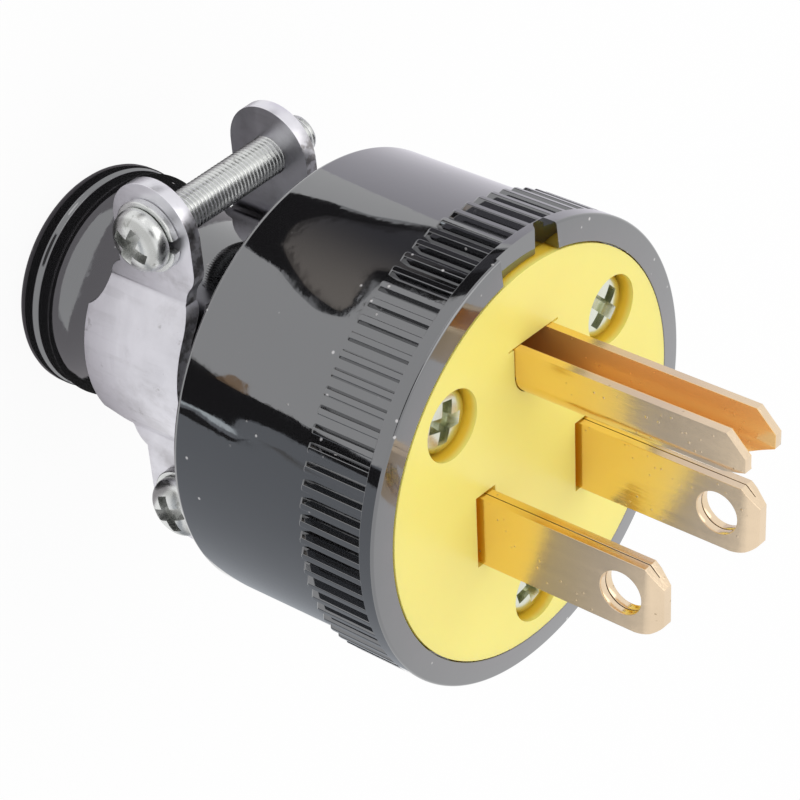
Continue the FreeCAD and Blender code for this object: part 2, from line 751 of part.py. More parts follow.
def make_terminals():
    """Each terminal's screw, head to the rear, and the square plate that presses on the wire."""
    for label, x, y in TERMINALS:
        plate = new_body(f"terminal_plate_{label}")
        along, across = s.plate_length / 2, s.plate_width / 2
        if label == "earth":
            along, across = across, along
        square = new_sketch(plate, f"plate_{label}", "XY_Plane")
        cut = s.plate_corner
        outline(square, [
            (-along + cut, -across), (along - cut, -across), (along, -across + cut), (along, across - cut),
            (along - cut, across), (-along + cut, across), (-along, across - cut), (-along, -across + cut),
        ])
        circle(square, ZERO, ZERO, s.terminal_screw_radius + s.screw_gap)
        pad(plate, square, s.plate_thickness)
        place(plate, x, y, INSERT_BACK - s.plate_thickness)
        screw = make_screw(f"terminal_screw_{label}", s.terminal_screw_radius, s.terminal_screw_length,
                           s.terminal_head_radius, s.terminal_head_height)
        place(screw, x, y, INSERT_BACK - s.plate_thickness, FreeCAD.Vector(1, 0, 0), 180)


def make_clamp_half(label, side):
    """Stamped half: a saddle round the neck between two flat ears, its section bent from one sheet."""
    body = new_body(label)
    half_sheet = s.clamp_sheet / 2
    bend = s.clamp_bend + half_sheet
    reach = SADDLE_INNER + half_sheet + bend
    bend_x = EAR_INNER + half_sheet + bend
    bend_y = root(reach * reach - bend_x * bend_x)
    ear_end = TIP_CENTRE + s.ear_radius + PAST
    outer_x, outer_y = bend_x * SADDLE_OUTER / reach, bend_y * SADDLE_OUTER / reach
    inner_x, inner_y = bend_x * SADDLE_INNER / reach, bend_y * SADDLE_INNER / reach
    corners = [
        (outer_x, -outer_y, SADDLE_OUTER),
        (outer_x, outer_y, -s.clamp_bend),
        (EAR_OUTER, bend_y),
        (EAR_OUTER, ear_end),
        (EAR_INNER, ear_end),
        (EAR_INNER, bend_y, s.clamp_bend + s.clamp_sheet),
        (inner_x, inner_y, -SADDLE_INNER),
        (inner_x, -inner_y, s.clamp_bend + s.clamp_sheet),
        (EAR_INNER, -bend_y),
        (EAR_INNER, -ear_end),
        (EAR_OUTER, -ear_end),
        (EAR_OUTER, -bend_y, -s.clamp_bend),
    ]
    section = new_sketch(body, f"{label}_section", "XY_Plane", SADDLE_BACK - PAST)
    outline(section, [[corner[0] * side, corner[1], *[turn * side for turn in corner[2:]]] for corner in corners])
    pad(body, section, EAR_FRONT - SADDLE_BACK + PAST * 2)

    waist = TIP_CENTRE - s.ear_straight_front - s.waist_run
    shoulder = TIP_CENTRE - s.ear_straight_back
    upper = [
        (waist - s.waist_rise_run, SADDLE_FRONT, -s.waist_round),
        *s_curve(waist, SADDLE_FRONT - s.waist_depth, waist + s.waist_run, EAR_FRONT, -1),
        (waist + s.waist_run, EAR_FRONT),
        (TIP_CENTRE, EAR_FRONT, -s.ear_radius),
        (TIP_CENTRE + s.ear_radius, EAR_HEIGHT, -s.ear_radius),
        (TIP_CENTRE, EAR_BACK),
        *s_curve(shoulder, EAR_BACK, shoulder - s.shoulder_run, SADDLE_BACK, 1),
    ]
    stops = [(shoulder - s.shoulder_run, SADDLE_BACK)]
    lower = mirrored(upper + stops)
    beyond = TIP_CENTRE + s.ear_radius + PAST * 3
    trim = new_sketch(body, f"{label}_outline", "YZ_Plane")
    outline(trim, upper + stops + lower)
    rectangle(trim, -beyond, beyond, SADDLE_BACK - PAST * 3, EAR_FRONT + PAST * 3)
    pocket(body, trim, SADDLE_OUTER * 4, both_ways=True)
    return body


def s_curve(x_start, y_start, x_end, y_end, turn):
    """Two equal arcs that leave and arrive along the sheet's edge. turn is 1 for right then left."""
    run, rise = x_end - x_start, y_end - y_start
    size = rise if rise.value > 0 else -rise
    radius = (run * run + rise * rise) / (size * 4)
    return [
        (x_start, y_start, -(radius * turn)),
        (x_start + run / 2, y_start + rise / 2, radius * turn),
    ]


def mirrored(corners):
    """The same run of corners on the other side of the vertical axis, walked backwards."""
    turned = []
    for index in range(len(corners) - 1, -1, -1):
        before = corners[index - 1] if index else ()
        turned.append((-corners[index][0], corners[index][1], *before[2:]))
    return turned


def turned_place(body, x, y, z, facing_left=False, spin_angle=0):
    """Places a piece of the clamp, which sits turned and a little high on the neck."""
    turn = s.clamp_turn
    spin = FreeCAD.Rotation(FreeCAD.Vector(0, 0, 1), turn.value)
    if facing_left:
        spin = spin.multiply(FreeCAD.Rotation(FreeCAD.Vector(0, 1, 0), -90))
        spin = spin.multiply(FreeCAD.Rotation(FreeCAD.Vector(0, 0, 1), spin_angle))
    body.Placement = FreeCAD.Placement(FreeCAD.Vector(), spin)
    x, y = as_size(x), as_size(y)
    body.setExpression("Placement.Base.x", (x * cosine(turn) - y * sine(turn)).text)
    body.setExpression("Placement.Base.y", (x * sine(turn) + y * cosine(turn) + s.clamp_lift).text)
    body.setExpression("Placement.Base.z", as_size(z).text)


def make_clamp():
    """Both halves, their two long screws and the split washers under the heads."""
    left = make_clamp_half("cord_clamp_left", -1)
    holes = new_sketch(left, "clearance_holes", "YZ_Plane", -EAR_OUTER)
    for side in (1, -1):
        circle(holes, SCREW_REACH * side, EAR_HEIGHT, s.clamp_screw_radius + s.screw_gap)
    pocket(left, holes, s.clamp_sheet * 2, backwards=True)
    turned_place(left, 0, 0, 0)

    right = make_clamp_half("cord_clamp_right", 1)
    collars = new_sketch(right, "tapped_collars", "YZ_Plane", EAR_INNER + s.clamp_sheet / 2)
    for side in (1, -1):
        circle(collars, SCREW_REACH * side, EAR_HEIGHT, s.tapped_collar_radius)
    pad(right, collars, s.clamp_sheet / 2 + s.tapped_collar_height)
    tapped = new_sketch(right, "tapped_holes", "YZ_Plane", EAR_INNER)
    for side in (1, -1):
        circle(tapped, SCREW_REACH * side, EAR_HEIGHT, s.clamp_screw_radius)
    pocket(right, tapped, s.clamp_sheet + s.tapped_collar_height, backwards=True)
    turned_place(right, 0, 0, 0)

    for name, side in (("earth_side", 1), ("blade_side", -1)):
        screw = make_screw(f"clamp_screw_{name}", s.clamp_screw_radius, CLAMP_SCREW_LENGTH,
                           s.clamp_head_radius, s.clamp_head_height, domed=True)
        turned_place(screw, -WASHER_OUTER, SCREW_REACH * side, EAR_HEIGHT, facing_left=True)
        washer = make_lock_washer(f"lock_washer_{name}")
        turned_place(washer, -WASHER_OUTER, SCREW_REACH * side, EAR_HEIGHT, facing_left=True,
                     spin_angle=-s.washer_split_turn.value)


def make_lock_washer(label):
    """Split spring washer, pressed flat, with its slanted gap."""
    body = new_body(label)
    ring = new_sketch(body, f"{label}_ring", "XY_Plane", -s.washer_thickness)
    circle(ring, ZERO, ZERO, s.washer_radius)
    circle(ring, ZERO, ZERO, s.clamp_screw_radius + s.screw_gap)
    pad(body, ring, s.washer_thickness)
    slit = new_sketch(body, f"{label}_slit", "YZ_Plane")
    half, slant = s.washer_split / 2, s.washer_thickness / 2
    below, above = -s.washer_thickness * 1.5, s.washer_thickness / 2
    outline(slit, [
        (-half - slant, below), (half - slant, below), (half + slant, above), (-half + slant, above),
    ])
    pocket(body, slit, s.washer_radius + PAST, backwards=True)
    return body


def build():
    fill_sheet()
    make_shell()
    make_face_insert()
    make_retainer()
    make_blade("blade_line", 1)
    make_blade("blade_neutral", -1)
    make_earth_pin()
    make_face_screws()
    make_terminals()
    make_clamp()
    doc.recompute()


def check_and_export():
    """Stops at a failed object or a bad shape, then writes one STEP file for each piece."""
    for item in doc.Objects:
        if "Invalid" in item.State or "Error" in item.State:
            raise RuntimeError(f"{item.Name} failed: {item.State}")
    bodies = [item for item in doc.Objects if item.TypeId == "PartDesign::Body"]
    for body in bodies:
        if body.Shape.isNull() or not body.Shape.isValid():
            raise RuntimeError(f"{body.Label} has no valid shape")
    os.makedirs("parts", exist_ok=True)
    for body in bodies:
        body.Shape.exportStep(f"parts/{body.Label}.step")
        print(f"{body.Label}: {body.Shape.Volume:.1f} mm3, {len(body.Shape.Solids)} solid")


build()
check_and_export()
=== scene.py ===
"""Finishes and fine detail of a rewirable type B plug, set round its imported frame."""

import math

import bmesh
import bpy
from bpy.props import FloatProperty, FloatVectorProperty, IntProperty, PointerProperty
from mathutils import Euler, Matrix, Vector


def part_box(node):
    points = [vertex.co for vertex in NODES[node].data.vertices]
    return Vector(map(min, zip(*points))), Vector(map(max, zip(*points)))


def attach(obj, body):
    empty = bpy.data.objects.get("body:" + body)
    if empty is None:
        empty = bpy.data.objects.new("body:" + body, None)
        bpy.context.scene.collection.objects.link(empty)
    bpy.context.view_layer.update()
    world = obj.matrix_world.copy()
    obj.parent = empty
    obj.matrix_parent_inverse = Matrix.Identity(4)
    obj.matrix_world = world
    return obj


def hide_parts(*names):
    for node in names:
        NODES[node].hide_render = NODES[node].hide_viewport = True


bl_info = {
    "name": "Rewirable Plug Finisher",
    "version": (1, 0, 0),
    "blender": (4, 5, 0),
    "location": "3D View > Sidebar > Plug",
    "description": "Moulded body, stamped clamp, threaded screws and finishes of a type B plug",
    "category": "Object",
}

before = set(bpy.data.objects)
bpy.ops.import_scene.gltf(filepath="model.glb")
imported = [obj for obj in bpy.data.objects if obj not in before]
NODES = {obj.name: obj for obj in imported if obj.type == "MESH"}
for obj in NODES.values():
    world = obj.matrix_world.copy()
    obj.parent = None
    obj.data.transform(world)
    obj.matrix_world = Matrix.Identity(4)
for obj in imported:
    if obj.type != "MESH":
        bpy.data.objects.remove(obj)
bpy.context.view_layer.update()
MM = 0.001

# Levels along the plug and radii about its axis, in millimetres, as the frame has them
FACE = 47.8
BARREL_BACK = 26.6
BAND_BACK = 39.9
RING_BACK = 46.2
CAVITY_FLOOR = 28.8
COLLAR_RADIUS = 9.97
NECK_RADIUS = 9.35
BARREL_RADIUS = 19.0
RIB_RADIUS = 19.62
RING_RADIUS = 19.65
SEAT_RADIUS = 17.47
CAVITY_RADIUS = 16.32
RIB_TURN = -0.4
BORE_RADIUS = 6.5

# The cord clamp's place on the neck
CLAMP_TURN = math.radians(2.7)
CLAMP_LIFT = 0.14
EAR_HEIGHT = 15.9
WASHER_OUTER = 8.525
SCREW_REACH = 13.45
SCREW_SIDES = {"earth_side": 1, "blade_side": -1}

# The clamp's bends, its long screws and the opening of its split washers
BEND_FROM = 8.3
BEND_TO = 11.2
CLAMP_SCREW_RADIUS = 1.75
CLAMP_SCREW_LENGTH = 19.05
WASHER_OPENING = math.radians(22)
CLAMP_HEAD = {"radius": 2.75, "height": 1.9, "edge": 0.75, "recess": 2.25, "width": 1.3, "depth": 1.0}

# The face screws and the hollow posts that they bite into
FACE_SCREW_RADIUS = 1.7
FACE_HEAD = {"radius": 2.75, "height": 1.9, "edge": 1.40, "recess": 2.3, "width": 1.35, "depth": 1.0}
BOSS_BORE = 1.75
BOSS_RADIUS = 3.6
BOSS_TOP = 36.8

# The earth pin's channel, and how far past the face the painted gold reflection of the yellow face on the
# blades runs out
CHANNEL_HALF = 1.57
CHANNEL_FLOOR = 7.2
REFLECTION_FADE_START = 3
REFLECTION_FADE_END = 13

# The viewpoint: its place in metres, its turn and its lens
CAMERA_PLACE = (-0.15370, 0.13527, 0.16728)
CAMERA_TURN = (-30.861, -50.573, -3.672)
CAMERA_LENS = 136.107

# The stage, in millimetres: the floor under the plug, the cards on it and the one behind the camera
FLOOR_DROP = 0.1
RING_LIFT = 0.2
VIEWER_RADIUS = 90
VIEWER_DISTANCE = 360


class PlugSizes(bpy.types.PropertyGroup):
    """Sizes of the detail that is finer than the frame, in metres"""

    rib_count: IntProperty(name="Ribs", description="Ribs round the grip band", default=80, min=12)
    rib_width: FloatProperty(
        name="Rib width",
        description="Width of a rib at its foot",
        default=0.00083,
        unit="LENGTH",
        precision=5,
    )
    thread_pitch: FloatProperty(
        name="Thread pitch",
        description="Distance from crest to crest",
        default=0.0004,
        unit="LENGTH",
        precision=5,
    )
    thread_depth: FloatProperty(
        name="Thread depth", description="Crest to root", default=0.00021, unit="LENGTH", precision=5
    )
    sheet_edge: FloatProperty(
        name="Sheet edge",
        description="Rounding along a stamped sheet's edge",
        default=0.00022,
        unit="LENGTH",
        precision=5,
    )


class PlugFinishes(bpy.types.PropertyGroup):
    """Colours of the plug's finishes"""

    body: FloatVectorProperty(
        name="Body", description="Black moulded plastic", subtype="COLOR", default=(0.0065, 0.0062, 0.0072)
    )
    face: FloatVectorProperty(
        name="Face", description="Yellow moulded plastic", subtype="COLOR", default=(0.99, 0.855, 0.22)
    )
    brass: FloatVectorProperty(
        name="Brass", description="Pale brass of the blades", subtype="COLOR", default=(0.83, 0.66, 0.47)
    )
    steel: FloatVectorProperty(
        name="Clamp steel",
        description="Zinc on the stamped clamp",
        subtype="COLOR",
        default=(0.80, 0.79, 0.84),
    )
    zinc: FloatVectorProperty(
        name="Screw zinc", description="Zinc on the screws", subtype="COLOR", default=(0.74, 0.75, 0.74)
    )


class Value:
    """A number in a material. Arithmetic on it adds Math nodes."""

    def __init__(self, finish, socket):
        self.finish = finish
        self.socket = socket

    def math(self, operation, *values):
        return self.finish.node("ShaderNodeMath", values, operation=operation)

    def __add__(self, other):
        return self.math("ADD", self, other)

    __radd__ = __add__

    def __sub__(self, other):
        return self.math("SUBTRACT", self, other)

    def __rsub__(self, other):
        return self.math("SUBTRACT", other, self)

    def __mul__(self, other):
        return self.math("MULTIPLY", self, other)

    __rmul__ = __mul__

    def __abs__(self):
        return self.math("ABSOLUTE", self)

    def __pow__(self, other):
        return self.math("POWER", self, other)

    def __rpow__(self, other):
        return self.math("POWER", other, self)

    def step(self, low, high):
        """0 below low and 1 above high, with a soft ramp between."""
        return self.finish.node(
            "ShaderNodeMapRange", (self, low, high, 0.0, 1.0), interpolation_type="SMOOTHSTEP", clamp=True
        )


class Finish:
    """A material and the nodes of its tree."""

    def __init__(self, name):
        self.material = bpy.data.materials.new(name)
        self.material.use_nodes = True
        self.tree = self.material.node_tree
        self.tree.nodes.clear()
        self.place = self.node("ShaderNodeTexCoord", output="Object")

    def feed(self, socket, value):
        if isinstance(value, Value):
            self.tree.links.new(value.socket, socket)
        elif value is not None:
            is_colour = socket.type == "RGBA" and isinstance(value, tuple) and len(value) == 3
            socket.default_value = (*value, 1.0) if is_colour else value

    def node(self, kind, values=(), output=None, **settings):
        """Adds a node: its settings first, then what its sockets take, by order or by name."""
        made = self.tree.nodes.new(kind)
        for name, value in settings.items():
            setattr(made, name, value)
        if isinstance(values, dict):
            for name, value in values.items():
                self.feed(made.inputs[name], value)
        else:
            for socket, value in zip([i for i in made.inputs if i.enabled], values):
                self.feed(socket, value)
        outs = [o for o in made.outputs if o.enabled]
        return Value(self, made.outputs[output] if output else outs[0]) if outs else None

    def mapped(self, scale=(1, 1, 1), turn=(0, 0, 0), move=(0, 0, 0)):
        return self.node(
            "ShaderNodeMapping", {"Vector": self.place, "Location": move, "Rotation": turn, "Scale": scale}
        )

    def noise(self, scale, detail=3.0, rough=0.5, warp=0.0, at=None):
        values = {"Scale": scale, "Detail": detail, "Roughness": rough, "Distortion": warp}
        return self.node("ShaderNodeTexNoise", {"Vector": at or self.place, **values}, output="Fac")

    def speckle(self, scale, at=None):
        return self.node(
            "ShaderNodeTexVoronoi", {"Vector": at or self.place, "Scale": scale}, output="Distance"
        )

    def axis(self, letter):
        return self.node("ShaderNodeSeparateXYZ", (self.place,), output=letter)

    def clamp_place(self):
        """The place in the cord clamp's own frame: across, along its screws' row, and up."""
        at = self.mapped(turn=(0, 0, -CLAMP_TURN), move=(0, -CLAMP_LIFT * MM, 0))
        return [self.node("ShaderNodeSeparateXYZ", (at,), output=letter) for letter in "XYZ"]

    def mix(self, share, first, second):
        """Blends two colours by a share from 0 to 1."""
        pair = [(*c, 1.0) if isinstance(c, tuple) else c for c in (first, second)]
        return self.node("ShaderNodeMix", (share, *pair), data_type="RGBA")

    def bump(self, height, distance, strength=1.0):
        return self.node("ShaderNodeBump", {"Height": height, "Distance": distance, "Strength": strength})

    def surface(self, **values):
        """Ends the tree with one Principled surface."""
        named = {key.replace("_", " "): value for key, value in values.items()}
        shader = self.node("ShaderNodeBsdfPrincipled", named)
        self.node("ShaderNodeOutputMaterial", {"Surface": shader})
        return self.material


def colour(name):
    """A colour of the finish settings as a plain tuple."""
    return tuple(getattr(bpy.context.scene.plug_finishes, name))


def shade(tint, factor):
    return tuple(channel * factor for channel in tint)


def body_plastic():
    finish = Finish("glossy black plastic")
    swell = finish.noise(55, 2, 0.45)
    ripple = finish.noise(260, 3, 0.5)
    grain = finish.noise(1700, 2)
    dust = finish.speckle(560).step(0.10, 0.04) * finish.noise(130, 2).step(0.47, 0.53)
    height = finish.axis("Z")
    rim = height.step((FACE - 0.30) * MM, (FACE - 0.05) * MM)
    worn = rim * (0.50 + finish.noise(330, 4, 0.6).step(0.35, 0.70) * 0.50)
    tint = finish.mix(worn, colour("body"), (0.085, 0.075, 0.080))
    tint = finish.mix(dust * 0.8, tint, (0.62, 0.60, 0.60))
    rough = 0.045 + ripple.step(0.45, 0.75) * 0.05 + rim * 0.06 + dust * 0.3
    return finish.surface(
        Base_Color=tint,
        Roughness=rough,
        IOR=2.1,
        Specular_Tint=(0.93, 0.95, 1.0),
        Coat_Weight=1 - worn * 0.4 - dust * 0.2,
        Coat_Roughness=0.03,
        Coat_IOR=1.85,
        Normal=finish.bump(swell * 4.0 + ripple * 0.35 + grain * 0.03 + dust * 0.1, 0.00010, 0.8),
    )


def face_plastic():
    finish = Finish("yellow face plastic")
    cloud = finish.noise(90, 3)
    grain = finish.noise(1500, 2)
    tint = finish.mix(cloud.step(0.35, 0.7) * 0.35, colour("face"), shade(colour("face"), 0.92))
    # Painted shade: below the face's plane, on the walls of the slots and screw wells, the yellow is
    # painted a deeper orange.
    shade_below_face = finish.axis("Z").step((FACE - 0.06) * MM, (FACE - 0.7) * MM)
    tint = finish.mix(shade_below_face, tint, (1.0, 0.66, 0.05))
    return finish.surface(
        Base_Color=tint,
        Roughness=0.26 + cloud * 0.12,
        IOR=1.5,
        Subsurface_Weight=0.20,
        Subsurface_Radius=(0.006, 0.004, 0.0008),
        Subsurface_Scale=0.5,
        Normal=finish.bump(cloud + grain * 0.1, 0.00004, 0.35),
    )


def retainer_plastic():
    finish = Finish("dark fibre board")
    fibre = finish.noise(420, 4, at=finish.mapped(scale=(1, 4, 1)))
    tint = finish.mix(fibre.step(0.3, 0.7), (0.035, 0.026, 0.020), (0.075, 0.055, 0.040))
    return finish.surface(Base_Color=tint, Roughness=0.62, Normal=finish.bump(fibre, 0.00006, 0.5))


def blade_brass():
    """Drawn brass, pale at the ends, with painted reflections: gold near the face, and orange inside the
    earth pin's channel, which is painted darker towards its root.
    """
    finish = Finish("blade brass")
    drawn = finish.noise(1500, 3, at=finish.mapped(scale=(1, 1, 0.10)))
    cloud = finish.noise(210, 4, 0.6, 0.4)
    pits = finish.speckle(1500).step(0.20, 0.05) * finish.noise(300, 3).step(0.50, 0.60)
    toned = finish.mix(cloud.step(0.35, 0.70) * 0.45, colour("brass"), shade(colour("brass"), 0.86))
    height = finish.axis("Z")
    # Painted reflection: the yellow face's reflection in the blades is painted as gold near the face,
    # fading out further along.
    gold_reflection = height.step((FACE + REFLECTION_FADE_END) * MM, (FACE + REFLECTION_FADE_START) * MM) * 0.85
    toned = finish.mix(gold_reflection, toned, (0.93, 0.67, 0.26))
    toned = finish.mix(pits * 0.5, toned, (0.36, 0.25, 0.13))
    # Painted reflection and painted shade: inside the earth pin's channel the brass is painted a less
    # metallic orange for the yellow face's reflection, darker towards its root at the face.
    between = abs(finish.axis("X")).step((CHANNEL_HALF + 0.09) * MM, (CHANNEL_HALF + 0.01) * MM)
    inside = between * finish.axis("Y").step((CHANNEL_FLOOR - 0.3) * MM, (CHANNEL_FLOOR - 0.2) * MM)
    channel_reflection_and_shade = finish.mix(height.step(FACE * MM, (FACE + 6) * MM), (0.66, 0.36, 0.10), (0.92, 0.58, 0.21))
    toned = finish.mix(inside * 0.9, toned, channel_reflection_and_shade)
    return finish.surface(
        Base_Color=toned,
        Metallic=1 - inside * 0.55,
        Roughness=0.13 + drawn * 0.10 + pits * 0.2,
        Normal=finish.bump(drawn * 0.7 + cloud * 0.45 + pits * 0.5, 0.00004, 0.7),
    )


def plated(name, tint, dark, rough=0.27, blotches=0.5, stretch=(1, 1, 0.12), marks_and_shade=None):
    """Bright plated steel: fine drawn streaks, a few dull blotches, and darkening where its mask says:
    sheared edges and soil on the clamp, and painted shade in its bends and in the screws' recesses.
    """
    finish = Finish(name)
    streak = finish.noise(1100, 3, at=finish.mapped(scale=stretch))
    cloud = finish.noise(240, 5, 0.6, 0.5)
    blotch = finish.noise(430, 5, 0.7).step(0.61, 0.70)
    toned = finish.mix(cloud.step(0.35, 0.7) * 0.45, tint, shade(tint, 0.80))
    toned = finish.mix(blotch * blotches, toned, dark)
    if marks_and_shade:
        # The mask's darkening: partly real edges and soil, partly painted shade.
        toned = finish.mix(marks_and_shade(finish), toned, shade(dark, 0.8))
    return finish.surface(
        Base_Color=toned,
        Metallic=1.0,
        Roughness=rough + streak * 0.12 + cloud * 0.06,
        Normal=finish.bump(streak * 0.7 + cloud, 0.00003, 0.6),
    )


def sheared_edges_and_bend_shade(finish):
    """The clamp's sheared edges, dark and striped across, a little soil, and painted shade in its bends."""
    normal = finish.node("ShaderNodeTexCoord", output="Normal")
    up = finish.node("ShaderNodeSeparateXYZ", (normal,), output="Z")
    stripes = finish.noise(1500, 2, at=finish.mapped(scale=(1, 1, 0.08)))
    smear = finish.noise(300, 4, 0.6).step(0.42, 0.62)
    edge = abs(up).step(0.75, 0.95) * (0.25 + stripes.step(0.40, 0.62) * 0.75)
    # Painted shade: the bends between the ears and the saddle are painted darker, mottled.
    reach = abs(finish.clamp_place()[1])
    shade_in_bends = reach.step(BEND_FROM * MM, (BEND_FROM + 1) * MM) * reach.step(BEND_TO * MM, (BEND_TO - 1) * MM)
    soil = finish.noise(170, 5, 0.65).step(0.50, 0.68)
    return edge * 0.8 + smear * stripes.step(0.50, 0.70) * 0.12 + soil * 0.22 + shade_in_bends * smear * 0.25


def shade_in_clamp_recesses(finish):
    """Painted shade in the cross recesses of the clamp screws: within the heads, under their domes."""
    across, along, up = finish.clamp_place()
    row = abs(along) - SCREW_REACH * MM
    rise = up - EAR_HEIGHT * MM
    near = (row * row + rise * rise) ** 0.5
    below = across.step(-(WASHER_OUTER + 1.75) * MM, -(WASHER_OUTER + 1.45) * MM)
    above = across.step(-(WASHER_OUTER + 0.1) * MM, -(WASHER_OUTER + 0.3) * MM)
    return near.step(2.5 * MM, 2.3 * MM) * 0.4 * below * above


def shade_in_face_recesses(finish):
    """Painted shade in the cross recesses and on the flanks of the face screws, sunk below the face."""
    shade_below_face = finish.axis("Z").step((FACE - 0.85) * MM, (FACE - 1.15) * MM)
    return shade_below_face * (0.25 + finish.noise(500, 3).step(0.40, 0.60) * 0.4)


def own_object(name, mesh, material, replaced=(), sharp=35):
    """Puts a finished mesh in the scene, on the plug's one body."""
    mesh.name = name
    made = bpy.data.objects.new(name, mesh)
    bpy.context.scene.collection.objects.link(made)
    made.data.materials.clear()
    made.data.materials.append(material)
    for face in mesh.polygons:
        face.use_smooth = True
    mesh.set_sharp_from_angle(angle=math.radians(sharp))
    even = made.modifiers.new("even", "WEIGHTED_NORMAL")
    even.keep_sharp = True
    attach(made, "root")
    if replaced:
        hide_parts(*replaced)
    return made


def to_mesh(bm, name):
    mesh = bpy.data.meshes.new(name)
    bm.to_mesh(mesh)
    bm.free()
    return mesh


def bevelled(bm, geom, offset, segments, affect="EDGES", clamp=False):
    bmesh.ops.bevel(
        bm,
        geom=geom,
        offset=offset,
        offset_type="OFFSET",
        affect=affect,
        segments=segments,
        profile=0.5,
        clamp_overlap=clamp,
        material=-1,
    )


def wire(bm, corners, closed=False):
    """A chain of edges through corners (radius, height, rounding), each rounded with bevel."""
    verts = [bm.verts.new((radius * MM, 0, height * MM)) for radius, height, _ in corners]
    pairs = list(zip(verts, verts[1:]))
    if closed:
        pairs.append((verts[-1], verts[0]))
    for pair in pairs:
        bm.edges.new(pair)
    for vert, (_, _, rounding) in zip(verts, corners):
        if rounding:
            bevelled(bm, [vert], rounding * MM, 6, affect="VERTICES")


def spun(bm, steps):
    """Turns a profile once round the Z axis and closes it."""
    bmesh.ops.spin(
        bm,
        geom=bm.verts[:] + bm.edges[:],
        axis=(0, 0, 1),
        cent=(0, 0, 0),
        angle=math.tau,
        steps=steps,
        use_merge=True,
        use_duplicate=False,
    )
    bmesh.ops.remove_doubles(bm, verts=bm.verts[:], dist=1e-7)
    bmesh.ops.recalc_face_normals(bm, faces=bm.faces[:])


def cut_away(mesh, cutter_bm):
    """The mesh less the cutter's solid."""
    held = bpy.data.objects.new("held", mesh)
    cutter = bpy.data.objects.new("cutter", to_mesh(cutter_bm, "cutter"))
    for thing in (held, cutter):
        bpy.context.scene.collection.objects.link(thing)
    cut = held.modifiers.new("cut", "BOOLEAN")
    cut.operation = "DIFFERENCE"
    cut.solver = "EXACT"
    cut.object = cutter
    graph = bpy.context.evaluated_depsgraph_get()
    result = bpy.data.meshes.new_from_object(held.evaluated_get(graph))
    bpy.data.objects.remove(held)
    bpy.data.objects.remove(cutter)
    return result


def moulded_body():
    """The black body: revolved wall with a notch in its rim, and the band of ribs."""
    bm = bmesh.new()
    wire(
        bm,
        [
            (BORE_RADIUS, CAVITY_FLOOR, 0),
            (BORE_RADIUS, 0.9, 0.5),
            (BORE_RADIUS + 0.9, 0, 0.5),
            (COLLAR_RADIUS, 0, 1.35),
            (COLLAR_RADIUS, 2.2, 0.16),
            (COLLAR_RADIUS - 0.3, 2.5, 0.16),
            (COLLAR_RADIUS - 0.3, 3.7, 0.16),
            (COLLAR_RADIUS, 4.0, 0.16),
            (COLLAR_RADIUS, 4.5, 0.6),
            (NECK_RADIUS, 7.3, 1.4),
            (NECK_RADIUS, BARREL_BACK, 2.9),
            (BARREL_RADIUS, BARREL_BACK, 0.55),
            (BARREL_RADIUS, RING_BACK, 0),
            (RING_RADIUS, RING_BACK, 0.08),
            (RING_RADIUS, FACE - 0.28, 0.22),
            (SEAT_RADIUS, FACE - 0.04, 0.08),
            (SEAT_RADIUS, FACE - 3.0, 0),
            (CAVITY_RADIUS, FACE - 3.0, 0),
            (CAVITY_RADIUS, CAVITY_FLOOR, 0),
        ],
        closed=True,
    )
    spun(bm, steps=256)
    wall = to_mesh(bm, "wall")

    notch = bmesh.new()
    floor = [(-3.45, 0.70), (1.35, 0.74), (1.75, 1.20), (2.10, 1.45), (3.45, 1.52)]
    corners = [(x, FACE - drop) for x, drop in floor] + [(3.45, FACE + 1), (-3.45, FACE + 1)]
    base = notch.faces.new([notch.verts.new((x * MM, CAVITY_RADIUS * MM, z * MM)) for x, z in corners])
    grown = bmesh.ops.extrude_face_region(notch, geom=[base])
    moved = [v for v in grown["geom"] if isinstance(v, bmesh.types.BMVert)]
    bmesh.ops.translate(notch, verts=moved, vec=(0, 6 * MM, 0))
    bmesh.ops.recalc_face_normals(notch, faces=notch.faces[:])
    wall = cut_away(wall, notch)

    bm = bmesh.new()
    bm.from_mesh(wall)
    band = grip_band()
    bm.from_mesh(band)
    for x, y in screw_places():
        boss(bm, x, y)
    mesh = to_mesh(bm, "moulded_body")
    return own_object("moulded_body", mesh, body_plastic(), ["shell"], sharp=40)


def screw_places():
    """The three face screws' places, in millimetres."""
    found = []
    for number in (1, 2, 3):
        low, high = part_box(f"face_screw_{number}")
        found.append(((low.x + high.x) / 2 / MM, (low.y + high.y) / 2 / MM))
    return found


def boss(bm, x, y):
    """A hollow post that a face screw bites into."""
    post = bmesh.new()
    wire(
        post,
        [
            (BOSS_BORE, CAVITY_FLOOR, 0),
            (BOSS_BORE, BOSS_TOP, 0.1),
            (BOSS_RADIUS, BOSS_TOP, 0.2),
            (BOSS_RADIUS, CAVITY_FLOOR, 0),
        ],
        closed=True,
    )
    spun(post, steps=48)
    bmesh.ops.translate(post, verts=post.verts[:], vec=(x * MM, y * MM, 0))
    bm.from_mesh(to_mesh(post, "post"))


